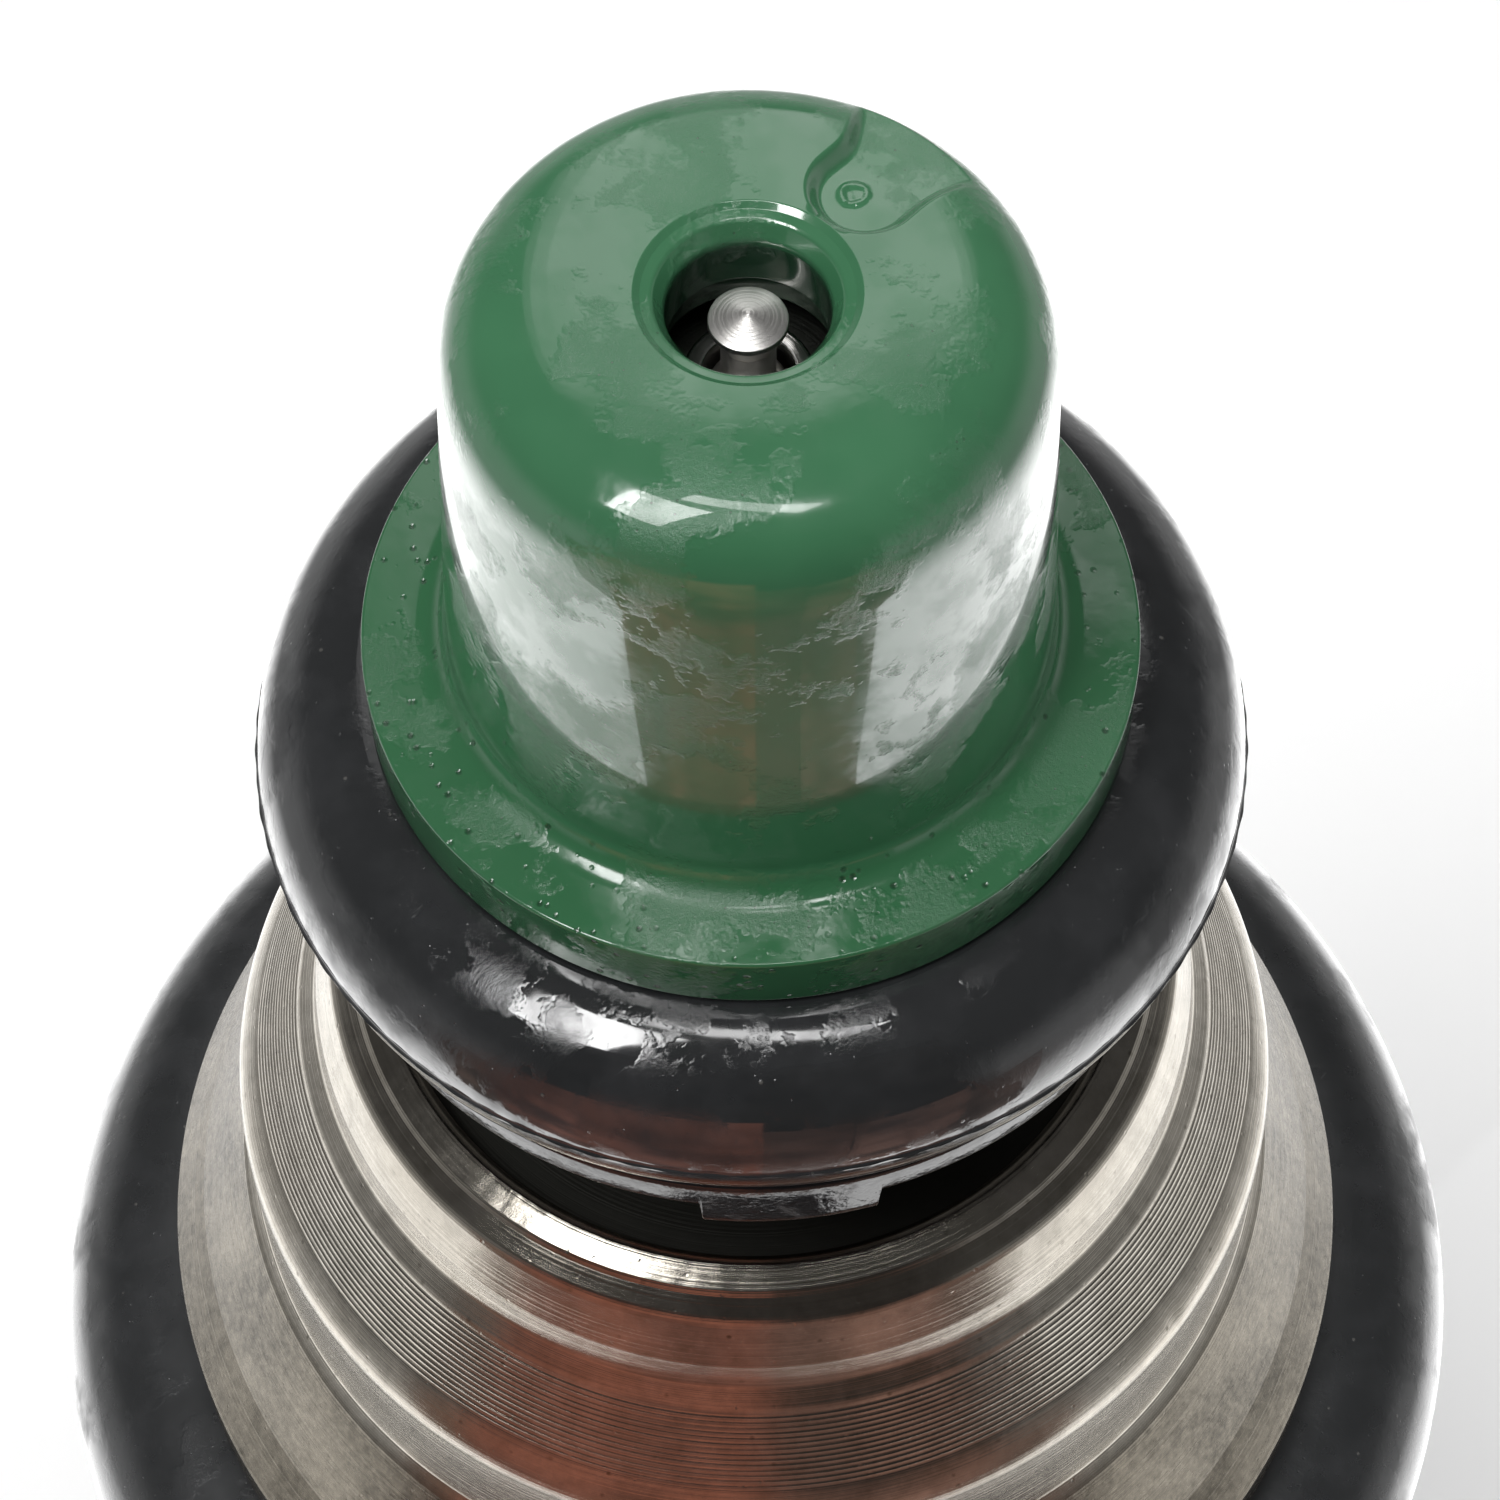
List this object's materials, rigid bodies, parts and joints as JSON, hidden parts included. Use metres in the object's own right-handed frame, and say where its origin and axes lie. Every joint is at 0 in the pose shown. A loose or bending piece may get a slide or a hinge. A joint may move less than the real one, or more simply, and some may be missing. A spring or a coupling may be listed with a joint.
{
  "type": "fuel injector",
  "caption": "Top-feed pintle fuel injector: a sprung needle lifted by a coil meters fuel out through a capped spray tip, sealed at both ends by rings.",
  "frame": {"origin": "centre of the inlet end face, on the injector's axis", "axes": "+Z along the axis towards the spray tip, -Y out of the connector's mouth, +X to the right seen from the connector side"},
  "size_m": [0.026, 0.0405, 0.0746],
  "materials": {
    "plated_steel": "satin, turned, nickel plated",
    "cushion_rubber": "satin",
    "nozzle_steel": "ground",
    "green_plastic": "glossy, slightly oily",
    "seal_rubber": "glossy, oily",
    "black_plastic": "fine moulded texture",
    "needle_steel": "ground and polished",
    "armature_steel": "turned",
    "spring_steel": "drawn wire",
    "bobbin_plastic": "moulded",
    "copper_wire": "enamelled",
    "tinned_blade": "tinned",
    "filter_brass": "stamped",
    "filter_plastic": "moulded"
  },
  "bodies": {
    "injector_body": {"housing": "plated_steel", "cushion_ring": "cushion_rubber", "nozzle_body": "nozzle_steel", "pintle_cap": "green_plastic", "lower_seal": "seal_rubber", "backup_washer": "black_plastic", "stop_washer": "nozzle_steel", "body_seal": "seal_rubber", "return_spring": "spring_steel", "adjusting_sleeve": "spring_steel", "inlet_tube": "plated_steel", "coil_bobbin": "bobbin_plastic", "coil_winding": "copper_wire", "coil_seal_nozzle": "seal_rubber", "coil_seal_inlet": "seal_rubber", "terminal_left": "tinned_blade", "terminal_right": "tinned_blade", "overmould": "black_plastic", "connector_ribs": "black_plastic", "filter_ring": "filter_brass", "filter_cage": "filter_plastic", "filter_mesh": "filter_plastic", "upper_seal": "seal_rubber", "rail_washer": "black_plastic", "lift_shim": "needle_steel"},
    "needle_assembly": {"needle": "needle_steel", "armature": "armature_steel"}
  },
  "joints": [
    {"name": "needle_lift", "type": "slide", "parent": "injector_body", "child": "needle_assembly", "axis": [0, 0, -1], "range_m": [0, 0.00015], "stiffness_N_per_m": 2000, "springref_m": -0.002, "deforming": ["return_spring"]}
  ]
}
